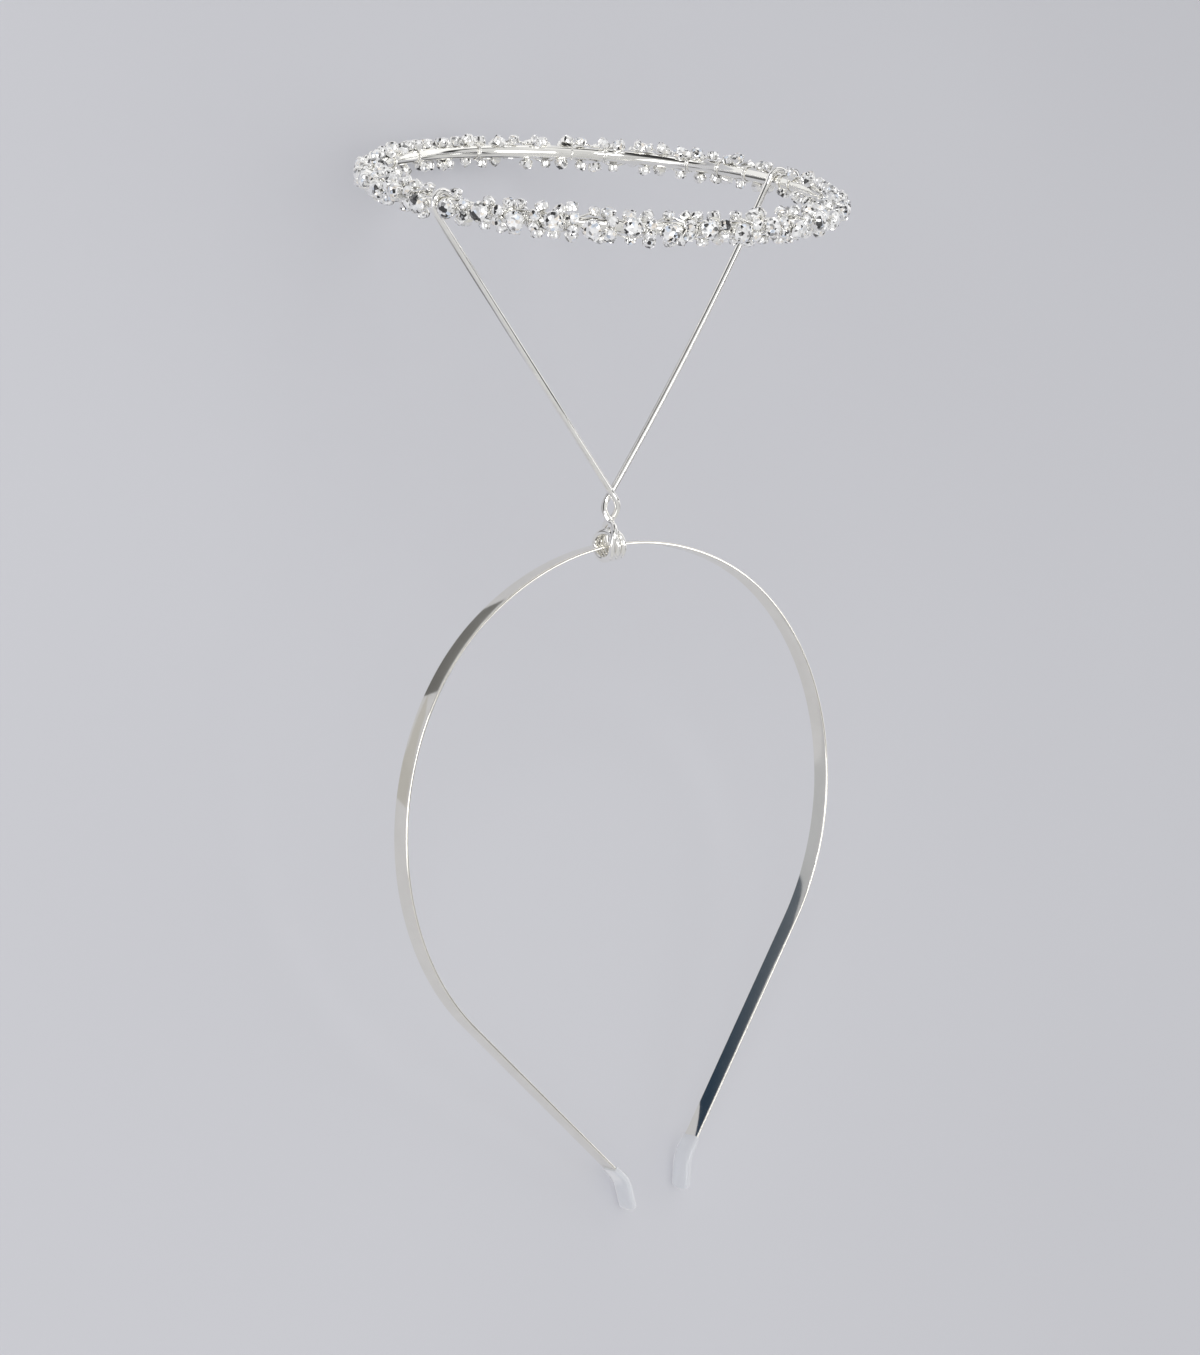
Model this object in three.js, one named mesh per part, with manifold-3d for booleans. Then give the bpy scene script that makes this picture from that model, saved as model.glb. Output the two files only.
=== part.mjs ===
import * as THREE from 'three';
import { mergeVertices } from 'three/addons/utils/BufferGeometryUtils.js';
import Module from 'manifold-3d';

// Halo headband, in millimetres. It is drawn as worn, with X across the head, Y to the back and Z up
// from the top of the strip, and then laid down on its back edge, as it lies on a table by itself.

const wasm = await Module();
wasm.setup();

// The strip: a crown arc, a tighter side arc and a straight leg.
const bandWidth = 4;
const bandThickness = 0.7;
const crownRadius = 76;
const crownTurn = THREE.MathUtils.degToRad(30);
const sideRadius = 56;
const sideTurn = THREE.MathUtils.degToRad(102);
const legLength = 60;

// The clear sleeves that grip the ends of the strip and go on past them, with the flare of the ends.
const flareRadius = 7;
const flareTurn = THREE.MathUtils.degToRad(31);
const tailLength = 4.2;
const sleeveLength = 11;
const gripLength = 2.5;
const sleeveWall = 0.3;
const sleeveEndLength = 1.6;
const sleeveSquareness = 0.6;

// The wire stem, with the coil that winds round the strip.
const wireDiameter = 1.5;
const coilTurns = 2.5;
const coilSpacing = 0.25;
const coilShiftRight = 2.2;
const twistHeight = 6.4;
const twistBearing = THREE.MathUtils.degToRad(226);
const stemLeanRight = THREE.MathUtils.degToRad(5);
const stemLeanForward = THREE.MathUtils.degToRad(5);
const hookWrap = THREE.MathUtils.degToRad(240);

// How far forward of the halo's middle each hook sits, whether its arm comes up inside or outside of the
// tube, how far the wire hugs the tube before the arm leaves it, and how far the arm bows outwards.
const leftHook = { side: -1, forward: THREE.MathUtils.degToRad(3), inwards: -1, hug: 0, bow: 0 };
const rightHook = {
  side: 1,
  forward: THREE.MathUtils.degToRad(8),
  inwards: 1,
  hug: THREE.MathUtils.degToRad(35),
  bow: 1.6,
};

// The halo: a round tube, set a little off centre and leaning forwards as it is bent.
const haloRadius = 49;
const tubeDiameter = 3;
const haloHeight = 77;
const haloShiftRight = 4.4;
const haloShiftForward = 4.4;
const haloLeanForward = THREE.MathUtils.degToRad(10.7);
const haloLeanSide = THREE.MathUtils.degToRad(1.8);

// The stones, in cups that stand on the tube.
const largeStone = { width: 4.4, cupHeight: 1.7, crownHeight: 0.9, tableShare: 0.56, baseShare: 0.78 };
const smallStone = { width: 2.6, cupHeight: 1.2, crownHeight: 0.6, tableShare: 0.56, baseShare: 0.74 };
const stoneSpacing = 0.3;
const pairOverlap = 0.2;
const largeSwing = THREE.MathUtils.degToRad(8);
const edgeSpread = THREE.MathUtils.degToRad(12);
const linkDiameter = 0.6;
const linkLiftShare = 0.66;

// Small air gap between pieces that touch, and how finely round forms are cut.
const clearance = 0.3;
const wireSides = 8;
const coilSteps = 12;
const hookSteps = 8;
const bowSteps = 4;
const twistSteps = 5;
const tubeSides = 12;
const tubeSteps = 56;
const stoneSides = 8;
const linkSides = 5;
const sleeveSides = 10;
const sleeveEndRings = 4;
const facetTurn = THREE.MathUtils.degToRad(5);
const restPasses = 8;

// Sizes that follow from the ones above.
const wireRadius = wireDiameter / 2;
const tubeRadius = tubeDiameter / 2;
const seatRadius = tubeRadius + clearance;
const coilRadius = Math.hypot(bandWidth, bandThickness) / 2 + clearance + wireRadius;
const coilPitch = wireDiameter + coilSpacing;
const coilHalf = coilPitch * coilTurns / 2;
const coilHeight = -bandThickness / 2;
const stonePitch = largeStone.width + smallStone.width + 2 * stoneSpacing;

// How one strand runs from the low end of the twist down to the coil: its angle from the top of the coil,
// its distance outside the coil in wire diameters, and how far along the coil it is, as a share of half.
const strandRun = [
  { turn: THREE.MathUtils.degToRad(28), lift: 1.3, along: 0.5 },
  { turn: THREE.MathUtils.degToRad(51), lift: 0.95, along: 0.88 },
  { turn: THREE.MathUtils.degToRad(69), lift: 0.3, along: 1 },
];

const silver = new THREE.MeshStandardMaterial({ color: 0xd8d8d6, metalness: 1, roughness: 0.12 });
const wireSilver = new THREE.MeshStandardMaterial({ color: 0xd2d0cb, metalness: 1, roughness: 0.2 });
const crystal = new THREE.MeshStandardMaterial({ color: 0xf1f2f4, metalness: 0.4, roughness: 0.05 });
const clearPlastic = new THREE.MeshStandardMaterial({
  color: 0xe4e6e8,
  metalness: 0,
  roughness: 0.2,
  transparent: true,
  opacity: 0.5,
});

// A run through given points, sampled at those points and nowhere else.
class PointRun extends THREE.Curve {
  constructor(points) {
    super();
    this.points = points;
  }

  getPoint(share, target = new THREE.Vector3()) {
    const place = share * (this.points.length - 1);
    const index = Math.min(Math.floor(place), this.points.length - 2);
    return target.lerpVectors(this.points[index], this.points[index + 1], place - index);
  }

  getUtoTmapping(share) {
    return share;
  }
}

function toSolid(geometry) {
  const bare = geometry.clone();
  bare.deleteAttribute('normal');
  bare.deleteAttribute('uv');
  const merged = mergeVertices(bare);
  const vertProperties = new Float32Array(merged.attributes.position.array);
  const triVerts = new Uint32Array(merged.index.array);
  return new wasm.Manifold(new wasm.Mesh({ numProp: 3, vertProperties, triVerts }));
}

function fromSolid(solid) {
  const mesh = solid.getMesh();
  const geometry = new THREE.BufferGeometry();
  geometry.setAttribute('position', new THREE.BufferAttribute(mesh.vertProperties, mesh.numProp));
  geometry.setIndex(new THREE.BufferAttribute(mesh.triVerts, 1));
  geometry.computeVertexNormals();
  return geometry;
}

function namedMesh(name, geometry, material) {
  const mesh = new THREE.Mesh(geometry, material);
  mesh.name = name;
  return mesh;
}

// A convex outline whose corners are squarer the smaller the squareness is.
function roundedSection(halfWidth, halfHeight, sides, squareness) {
  const shape = new THREE.Shape();
  for (let side = 0; side < sides; side += 1) {
    const angle = (side + 0.5) * 2 * Math.PI / sides;
    const x = halfWidth * Math.sign(Math.cos(angle)) * Math.abs(Math.cos(angle)) ** squareness;
    const y = halfHeight * Math.sign(Math.sin(angle)) * Math.abs(Math.sin(angle)) ** squareness;
    if (side === 0) {
      shape.moveTo(x, y);
    } else {
      shape.lineTo(x, y);
    }
  }
  shape.closePath();
  return shape;
}

function sweep(section, points) {
  const extrudePath = new PointRun(points);
  return new THREE.ExtrudeGeometry(section, { steps: points.length - 1, extrudePath });
}

// Places along the outer face of the right limb, from the top of the strip to its end. The heading
// starts level and turns down; run is the length so far.
function limbStations() {
  const stretches = [
    { radius: crownRadius, turn: crownTurn },
    { radius: sideRadius, turn: sideTurn },
    { length: legLength, turn: 0 },
    { radius: flareRadius, turn: -flareTurn },
    { length: tailLength, turn: 0 },
  ];
  const station = { x: 0, z: 0, heading: 0, run: 0 };
  const stations = [{ ...station }];
  for (const stretch of stretches) {
    const steps = Math.max(1, Math.ceil(Math.abs(stretch.turn) / facetTurn));
    const turn = stretch.turn / steps;
    const arc = stretch.turn === 0 ? stretch.length : stretch.radius * Math.abs(turn);
    const chord = stretch.turn === 0 ? stretch.length : 2 * stretch.radius * Math.sin(Math.abs(turn) / 2);
    for (let step = 0; step < steps; step += 1) {
      station.heading += turn / 2;
      station.x += chord * Math.cos(station.heading);
      station.z -= chord * Math.sin(station.heading);
      station.heading += turn / 2;
      station.run += arc;
      stations.push({ ...station });
    }
  }
  return stations;
}

// The point beside a station, outwards from the strip's outer face.
function beside(station, outwards, side = 1) {
  const x = station.x + outwards * Math.sin(station.heading);
  const z = station.z + outwards * Math.cos(station.heading);
  return new THREE.Vector2(side * x, z);
}

// A flat strip between two distances from the stations, extruded across its width.
function stripGeometry(outline, width) {
  const geometry = new THREE.ExtrudeGeometry(new THREE.Shape(outline), { depth: width, bevelEnabled: false });
  geometry.translate(0, 0, -width / 2);
  geometry.rotateX(Math.PI / 2);
  return geometry;
}

// The stretch of a limb between two lengths along it.
function stretchOf(stations, fromRun, toRun) {
  const stationAt = (run) => {
    const next = stations.findIndex((station) => station.run >= run);
    const after = stations[Math.max(next, 1)];
    const before = stations[Math.max(next, 1) - 1];
    const share = (run - before.run) / (after.run - before.run);
    return {
      x: THREE.MathUtils.lerp(before.x, after.x, share),
      z: THREE.MathUtils.lerp(before.z, after.z, share),
      heading: THREE.MathUtils.lerp(before.heading, after.heading, share),
      run,
    };
  };
  const inside = stations.filter((station) => station.run > fromRun && station.run < toRun);
  return [stationAt(fromRun), ...inside, stationAt(toRun)];
}

function headband() {
  const limb = limbStations();
  const stripEnd = limb[limb.length - 1].run - sleeveLength + gripLength;
  const stations = [
    ...stretchOf(limb, 0, stripEnd - gripLength - clearance),
    ...stretchOf(limb, stripEnd - gripLength - clearance, stripEnd).slice(1),
  ];
  const leftStations = stations.slice(1).reverse();
  const outer = [
    ...leftStations.map((station) => beside(station, 0, -1)),
    ...stations.map((station) => beside(station, 0)),
  ];
  const inner = [
    ...leftStations.map((station) => beside(station, -bandThickness, -1)),
    ...stations.map((station) => beside(station, -bandThickness)),
  ];
  return namedMesh('headband', stripGeometry([...outer, ...inner.reverse()], bandWidth), silver);
}

// The space inside a sleeve for the end of the strip, which passes out through its mouth.
function sleeveSlot(limb, mouthRun, side) {
  const stations = stretchOf(limb, mouthRun - sleeveWall, mouthRun + gripLength + clearance);
  const outer = stations.map((station) => beside(station, clearance, side));
  const inner = stations.map((station) => beside(station, -bandThickness - clearance, side));
  return toSolid(stripGeometry([...outer, ...inner.reverse()], bandWidth + 2 * clearance));
}

function sleeve(name, side) {
  const limb = limbStations();
  const endRun = limb[limb.length - 1].run;
  const mouthRun = endRun - sleeveLength;
  const stations = stretchOf(limb, mouthRun, endRun);
  const halfWidth = bandWidth / 2 + clearance + sleeveWall;
  const halfHeight = bandThickness / 2 + clearance + sleeveWall;
  const middles = stations.map((station) => beside(station, -bandThickness / 2, side));
  const points = middles.map((middle) => new THREE.Vector3(middle.x, 0, middle.y));
  const grown = 1 / Math.cos(Math.PI / sleeveSides);
  const section = roundedSection(halfWidth * grown, halfHeight * grown, sleeveSides, sleeveSquareness);
  const body = toSolid(sweep(section, points));
  const end = new THREE.SphereGeometry(1, sleeveSides, sleeveEndRings);
  end.scale(halfHeight, halfWidth, sleeveEndLength);
  const last = stations[stations.length - 1];
  end.rotateY(side * (last.heading - Math.PI / 2));
  const tip = points[points.length - 1];
  end.translate(tip.x, tip.y, tip.z);
  const solid = body.add(toSolid(end)).subtract(sleeveSlot(limb, mouthRun, side));
  return namedMesh(name, fromSolid(solid), clearPlastic);
}

// A strand's point leans with the stem, the more the higher it is, and stands over the coil.
function leant(point) {
  const height = point.z - coilHeight;
  point.x += coilShiftRight + height * Math.tan(stemLeanRight);
  point.y -= height * Math.tan(stemLeanForward);
  return point;
}

// One strand of an upright twist, from its high crossing down to the side of the coil.
function strandPoints() {
  const depth = wireRadius + clearance * 2 / 3;
  const width = wireDiameter;
  const low = coilHeight + coilRadius + strandRun[0].lift * wireDiameter;
  const points = [];
  for (let step = 0; step <= twistSteps; step += 1) {
    const turn = Math.PI * step / twistSteps;
    const forwards = depth * Math.cos(turn);
    const sideways = width * Math.sin(turn);
    const x = forwards * Math.cos(twistBearing) - sideways * Math.sin(twistBearing);
    const y = forwards * Math.sin(twistBearing) + sideways * Math.cos(twistBearing);
    points.push(new THREE.Vector3(x, y, low + twistHeight * (1 - step / twistSteps)));
  }
  for (const row of strandRun) {
    const reach = coilRadius + row.lift * wireDiameter;
    const y = reach * Math.sin(row.turn);
    const z = coilHeight + reach * Math.cos(row.turn);
    points.push(new THREE.Vector3(row.along * coilHalf, y, z));
  }
  return points;
}

function coilPoints() {
  const points = [];
  const steps = coilTurns * coilSteps;
  for (let step = 0; step <= steps; step += 1) {
    const turn = 2 * Math.PI * step / coilSteps;
    const x = coilShiftRight + coilHalf - coilPitch * step / coilSteps;
    const y = coilRadius * Math.cos(turn);
    const z = coilHeight - coilRadius * Math.sin(turn);
    points.push(new THREE.Vector3(x, y, z));
  }
  return points;
}

// A hook's points, from its free end round the tube to where the arm leaves it towards a point.
function hookPoints(haloMatrix, hook, towards) {
  const place = haloMatrix.clone().multiply(new THREE.Matrix4().makeRotationZ(-hook.side * hook.forward));
  const local = towards.clone().applyMatrix4(place.clone().invert());
  const armAngle = Math.atan2(-local.z, haloRadius - hook.side * local.x);
  const reach = tubeRadius + clearance + wireRadius;
  const points = [];
  for (let step = hookSteps; step >= 0; step -= 1) {
    const angle = armAngle + hook.inwards * (Math.PI / 2 + hook.hug - hookWrap * step / hookSteps);
    const x = hook.side * (haloRadius + reach * Math.cos(angle));
    points.push(new THREE.Vector3(x, 0, reach * Math.sin(angle)).applyMatrix4(place));
  }
  return points;
}

// A hook's points followed by those of its bowed arm, down to a point of the twist.
function hookAndArm(haloMatrix, hook, towards) {
  const points = hookPoints(haloMatrix, hook, towards);
  const top = points[points.length - 1];
  for (let step = 1; step < bowSteps; step += 1) {
    const share = step / bowSteps;
    const point = top.clone().lerp(towards, share);
    point.x += hook.side * hook.bow * 4 * share * (1 - share);
    points.push(point);
  }
  return points;
}

// One wire: left hook, left arm, twist, coil, twist again, right arm and right hook.
function stemWire(haloMatrix) {
  const upright = new THREE.Vector3(0, 0, 1);
  const down = strandPoints().map(leant);
  const up = strandPoints().map((point) => leant(point.applyAxisAngle(upright, Math.PI))).reverse();
  const points = [
    ...hookAndArm(haloMatrix, leftHook, down[0]),
    ...down,
    ...coilPoints(),
    ...up,
    ...hookAndArm(haloMatrix, rightHook, up[up.length - 1]).reverse(),
  ];
  const section = roundedSection(wireRadius, wireRadius, wireSides, 1);
  return namedMesh('stem_wire', sweep(section, points), wireSilver);
}

function haloRing() {
  const geometry = new THREE.TorusGeometry(haloRadius, tubeRadius, tubeSides, tubeSteps);
  return namedMesh('halo_ring', geometry, silver);
}

// A cut stone in its cup, standing on its base: cup wall, crown facets and table.
function stoneGeometry(stone) {
  const radius = stone.width / 2;
  const top = stone.cupHeight + stone.crownHeight;
  const profile = [
    new THREE.Vector2(0, 0),
    new THREE.Vector2(radius * stone.baseShare, 0),
    new THREE.Vector2(radius, stone.cupHeight),
    new THREE.Vector2(radius * stone.tableShare, top),
    new THREE.Vector2(0, top),
  ];
  const geometry = new THREE.LatheGeometry(profile, stoneSides);
  geometry.rotateX(Math.PI / 2);
  return geometry;
}

// Where something stands on the tube: round the halo by angle, and round the tube by turn, from facing
// outwards to facing up.
function onTube(angle, turn, lift = 0) {
  const place = new THREE.Matrix4().makeRotationZ(angle);
  place.multiply(new THREE.Matrix4().makeTranslation(haloRadius, 0, 0));
  place.multiply(new THREE.Matrix4().makeRotationY(Math.PI / 2 - turn));
  place.multiply(new THREE.Matrix4().makeTranslation(0, 0, seatRadius + lift));
  return place;
}

// The halo's back and front runs of stones, each from one hook to the other.
function stoneRuns() {
  const backStart = -rightHook.forward;
  const frontStart = Math.PI + leftHook.forward;
  const runs = [
    { name: 'stone_chain_back', start: backStart, span: frontStart - backStart },
    { name: 'stone_chain_front', start: frontStart, span: backStart + 2 * Math.PI - frontStart },
  ];
  for (const run of runs) {
    run.count = Math.floor(run.span * haloRadius / stonePitch);
    run.step = run.span / run.count;
  }
  return runs;
}

function largeStones() {
  const geometry = stoneGeometry(largeStone);
  const meshes = [];
  for (const run of stoneRuns()) {
    for (let index = 0; index < run.count; index += 1) {
      const number = String(meshes.length + 1).padStart(2, '0');
      const mesh = namedMesh(`halo_stone_${number}`, geometry, crystal);
      const swing = index % 2 === 0 ? -largeSwing : largeSwing;
      mesh.applyMatrix4(onTube(run.start + (index + 0.5) * run.step, swing));
      meshes.push(mesh);
    }
  }
  return meshes;
}

// The places of a run's small stones, in the order of the chain: one at the edge of the tube beside each
// large stone, up and down in turn, and between each two large stones a pair whose cups are joined.
function chainPlaces(run) {
  const smallBase = smallStone.width * smallStone.baseShare / 2;
  const largeBase = largeStone.width * largeStone.baseShare / 2;
  const smallHalfTurn = Math.atan2(smallBase, seatRadius);
  const pairTurn = smallHalfTurn - Math.asin(pairOverlap / 2 / Math.hypot(smallBase, seatRadius));
  const edgeTurn = Math.atan2(largeBase, seatRadius) + smallHalfTurn + edgeSpread;
  const places = [];
  for (let index = 0; index < run.count; index += 1) {
    const side = index % 2 === 0 ? 1 : -1;
    places.push({ angle: run.start + (index + 0.5) * run.step, turn: side * edgeTurn, linked: true });
    if (index < run.count - 1) {
      const between = run.start + (index + 1) * run.step;
      places.push({ angle: between, turn: side * pairTurn, linked: true });
      places.push({ angle: between, turn: -side * pairTurn, linked: false });
    }
  }
  return places;
}

function linkBetween(from, to) {
  const length = from.distanceTo(to);
  const geometry = new THREE.CylinderGeometry(linkDiameter / 2, linkDiameter / 2, length, linkSides);
  const upright = new THREE.Vector3(0, 1, 0);
  const along = to.clone().sub(from).normalize();
  geometry.applyQuaternion(new THREE.Quaternion().setFromUnitVectors(upright, along));
  const middle = from.clone().add(to).divideScalar(2);
  geometry.translate(middle.x, middle.y, middle.z);
  return toSolid(geometry);
}

function stoneChain(run) {
  const stone = stoneGeometry(smallStone);
  const linkLift = smallStone.cupHeight * linkLiftShare;
  const parts = [];
  let last = null;
  for (const place of chainPlaces(run)) {
    parts.push(toSolid(stone.clone().applyMatrix4(onTube(place.angle, place.turn))));
    const joint = new THREE.Vector3().applyMatrix4(onTube(place.angle, place.turn, linkLift));
    if (last !== null && place.linked) {
      parts.push(linkBetween(last, joint));
    }
    last = joint;
  }
  return namedMesh(run.name, fromSolid(wasm.Manifold.union(parts)), crystal);
}

function halo() {
  const group = new THREE.Group();
  group.position.set(haloShiftRight, -haloShiftForward, haloHeight);
  group.rotation.set(haloLeanForward, haloLeanSide, 0, 'YXZ');
  group.add(haloRing());
  group.add(...largeStones());
  group.add(...stoneRuns().map(stoneChain));
  group.updateMatrixWorld(true);
  return group;
}

function cornersOf(object) {
  const corners = [];
  object.updateMatrixWorld(true);
  object.traverse((part) => {
    if (part.isMesh) {
      const position = part.geometry.attributes.position;
      for (let index = 0; index < position.count; index += 1) {
        corners.push(new THREE.Vector3().fromBufferAttribute(position, index).applyMatrix4(part.matrixWorld));
      }
    }
  });
  return corners;
}

function lowestWhenTilted(corners, tilt) {
  const depth = (corner) => corner.y * Math.cos(tilt) - corner.z * Math.sin(tilt);
  return corners.reduce((lowest, corner) => (depth(corner) > depth(lowest) ? corner : lowest));
}

// The tilt of the line that touches the sleeves and the back of the halo: the surface it lies on.
function restingTilt(ends, farRim) {
  const endCorners = ends.flatMap(cornersOf);
  const rimCorners = cornersOf(farRim);
  let tilt = 0;
  for (let pass = 0; pass < restPasses; pass += 1) {
    const end = lowestWhenTilted(endCorners, tilt);
    const rim = lowestWhenTilted(rimCorners, tilt);
    tilt = Math.atan2(rim.y - end.y, rim.z - end.z);
  }
  return tilt;
}

function haloHeadband() {
  const worn = new THREE.Group();
  const top = halo();
  const ends = [sleeve('tip_left', -1), sleeve('tip_right', 1)];
  worn.add(headband(), ...ends, stemWire(top.matrixWorld), top);
  worn.rotation.x = restingTilt(ends, top) - Math.PI / 2;
  const lying = new THREE.Group();
  lying.add(worn);
  lying.updateMatrixWorld(true);
  const box = new THREE.Box3().setFromObject(lying, true);
  worn.position.set(-(box.min.x + box.max.x) / 2, -(box.min.y + box.max.y) / 2, -box.min.z);
  lying.updateMatrixWorld(true);
  return lying;
}

export default haloHeadband();
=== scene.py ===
import math
import random

import bpy
import numpy as np
from mathutils import Matrix, Vector


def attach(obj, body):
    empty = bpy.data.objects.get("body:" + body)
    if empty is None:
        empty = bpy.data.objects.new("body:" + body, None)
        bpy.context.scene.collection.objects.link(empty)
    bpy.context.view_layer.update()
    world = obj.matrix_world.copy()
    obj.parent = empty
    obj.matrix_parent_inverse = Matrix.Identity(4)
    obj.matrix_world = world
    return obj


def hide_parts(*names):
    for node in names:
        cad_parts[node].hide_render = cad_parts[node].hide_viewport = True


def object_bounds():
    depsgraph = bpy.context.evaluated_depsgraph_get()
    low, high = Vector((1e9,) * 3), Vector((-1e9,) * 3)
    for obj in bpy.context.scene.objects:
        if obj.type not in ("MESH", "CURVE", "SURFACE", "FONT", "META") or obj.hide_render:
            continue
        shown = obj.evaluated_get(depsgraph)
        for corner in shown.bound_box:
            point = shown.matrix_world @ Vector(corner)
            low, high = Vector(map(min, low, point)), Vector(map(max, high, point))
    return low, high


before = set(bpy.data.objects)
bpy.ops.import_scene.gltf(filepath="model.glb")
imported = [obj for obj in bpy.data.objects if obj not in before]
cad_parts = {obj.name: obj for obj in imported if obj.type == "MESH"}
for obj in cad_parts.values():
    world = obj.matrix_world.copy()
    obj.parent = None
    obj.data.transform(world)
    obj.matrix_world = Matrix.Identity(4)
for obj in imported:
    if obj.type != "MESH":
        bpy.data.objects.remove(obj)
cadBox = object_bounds()
print("frame loaded")

millimetre = 0.001
fullTurn = 2 * math.pi
rng = random.Random(7)

# Shapes are worked out in millimetres as worn: X across the head, Y to the back, Z up from the top of
# the strip. The last step lays them on their back edge, where the frame is.
lying = {"tilt": math.radians(11.038857), "shift": Vector((0, 25.17261, 30.98746))}
wornToFrame = (
    Matrix.Scale(millimetre, 4)
    @ Matrix.Translation(lying["shift"])
    @ Matrix.Rotation(lying["tilt"] - math.pi / 2, 4, "X")
)


def newStore():
    return {"points": [], "faces": [], "finishes": []}


# Adds a form to a store, moved by a matrix. Its finish is a place in the piece's list of materials.
def addForm(store, form, finish=0, matrix=None):
    start = len(store["points"])
    points, faces = form
    if matrix is not None:
        points = [matrix @ Vector(point) for point in points]
    store["points"].extend(points)
    store["faces"].extend([tuple(start + index for index in face) for face in faces])
    store["finishes"].extend([finish] * len(faces))


# Joins rings of the same number of points with quads. A run that isn't closed gets a cap at each end.
def ringForm(rings, closedRun=False):
    count = len(rings[0])
    points = [point for ring in rings for point in ring]
    faces = []
    for index in range(len(rings) if closedRun else len(rings) - 1):
        here = index * count
        there = (index + 1) % len(rings) * count
        for side in range(count):
            after = (side + 1) % count
            faces.append((here + side, here + after, there + after, there + side))
    if not closedRun:
        faces.append(tuple(reversed(range(count))))
        faces.append(tuple(range(len(points) - count, len(points))))
    return points, faces


def circle(count, radius, height, shift=0.0):
    angles = [fullTurn * (side + shift) / count for side in range(count)]
    return [(radius * math.cos(angle), radius * math.sin(angle), height) for angle in angles]


# One piece of the dressed part from a store: it rides the body, and stands for nodes of the CAD model.
def makePiece(name, store, materials, replaced, smoothAngle=40):
    mesh = bpy.data.meshes.new(name)
    points = [tuple(wornToFrame @ Vector(point)) for point in store["points"]]
    mesh.from_pydata(points, [], store["faces"])
    for material in materials:
        mesh.materials.append(material)
    mesh.polygons.foreach_set("material_index", store["finishes"])
    mesh.update()
    mesh.validate()
    piece = bpy.data.objects.new(name, mesh)
    bpy.context.scene.collection.objects.link(piece)
    mesh.polygons.foreach_set("use_smooth", [True] * len(mesh.polygons))
    mesh.set_sharp_from_angle(angle=math.radians(smoothAngle))
    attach(piece, "root")
    if replaced:
        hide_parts(*replaced)


def newMaterial(name, **values):
    material = bpy.data.materials.new(name)
    material.use_nodes = True
    tree = material.node_tree
    shader = tree.nodes["Principled BSDF"]
    for socket, value in values.items():
        shader.inputs[socket].default_value = value
    return material, tree, shader


def addNode(tree, kind, **values):
    node = tree.nodes.new(kind)
    for name, value in values.items():
        if name in node.inputs:
            node.inputs[name].default_value = value
        else:
            setattr(node, name, value)
    return node


def rampNode(tree, source, stops):
    ramp = addNode(tree, "ShaderNodeValToRGB")
    elements = ramp.color_ramp.elements
    while len(elements) < len(stops):
        elements.new(0.5)
    for element, (place, colour) in zip(elements, stops):
        element.position = place
        element.color = (*colour, 1)
    tree.links.new(source, ramp.inputs["Fac"])
    return ramp


def toRange(tree, source, low, high):
    node = addNode(tree, "ShaderNodeMapRange", **{"To Min": low, "To Max": high})
    tree.links.new(source, node.inputs["Value"])
    return node.outputs["Result"]


def fromRange(tree, source, low, high):
    node = addNode(tree, "ShaderNodeMapRange", **{"From Min": low, "From Max": high})
    tree.links.new(source, node.inputs["Value"])
    return node.outputs["Result"]


def grey(value):
    return (value, value, value)


# The metals' two colours, their least and greatest roughness, and the scale and depth of their marks.
metalLooks = {
    "stripSilver": {
        "colours": ((0.88, 0.86, 0.8), (0.95, 0.93, 0.87)), "roughness": (0.07, 0.13), "mottle": 160.0, "bump": 0.04,
    },
    "wireSilver": {
        "colours": ((0.93, 0.92, 0.89), (0.99, 0.98, 0.955)), "roughness": (0.04, 0.1), "mottle": 420.0, "bump": 0.05,
    },
    "tubeSilver": {
        "colours": ((0.9, 0.89, 0.855), (0.97, 0.96, 0.925)), "roughness": (0.04, 0.09), "mottle": 300.0, "bump": 0.04,
    },
    "cupSilver": {
        "colours": ((0.93, 0.925, 0.91), (0.99, 0.985, 0.97)), "roughness": (0.08, 0.2), "mottle": 900.0, "bump": 0.1,
    },
}


# Polished metal: a mottled colour, a roughness that wanders a little, and a grain much finer than the mottle.
def metalMaterial(name, finer=12, grainDepth=0.00005):
    look = metalLooks[name]
    material, tree, shader = newMaterial(name, Metallic=1.0)
    place = addNode(tree, "ShaderNodeTexCoord")
    mottle = addNode(tree, "ShaderNodeTexNoise", Scale=look["mottle"], Detail=4.0)
    tree.links.new(place.outputs["Object"], mottle.inputs["Vector"])
    tint = rampNode(tree, mottle.outputs["Fac"], list(zip((0.3, 0.7), look["colours"])))
    tree.links.new(tint.outputs["Color"], shader.inputs["Base Color"])
    tree.links.new(toRange(tree, mottle.outputs["Fac"], *look["roughness"]), shader.inputs["Roughness"])
    grain = addNode(tree, "ShaderNodeTexNoise", Scale=look["mottle"] * finer, Detail=3.0)
    tree.links.new(place.outputs["Object"], grain.inputs["Vector"])
    bump = addNode(tree, "ShaderNodeBump", Strength=look["bump"], Distance=grainDepth)
    tree.links.new(grain.outputs["Fac"], bump.inputs["Height"])
    tree.links.new(bump.outputs["Normal"], shader.inputs["Normal"])
    return material


# Foil-backed glass: each small cell inside a stone turns its reflection a little, as cut facets do. The cells
# are painted with reflections: grey and near-black cells are painted dark reflections, and warm and cool ones
# are painted fire. A few larger patches are painted darker, as dark reflections.
crystalLook = {
    "cells": 1500.0, "cellTurn": 0.95, "patches": 400.0,
    "paintedFacetColours": [
        (0.0, grey(0.01)), (0.1, grey(0.35)), (0.2, grey(0.85)), (0.38, grey(1.0)),
        (0.86, (1.0, 0.93, 0.84)), (0.94, (0.8, 0.88, 1.0)),
    ],
    "paintedDarkPatchColours": [(0.0, grey(0.05)), (0.035, grey(1.0))],
}


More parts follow.
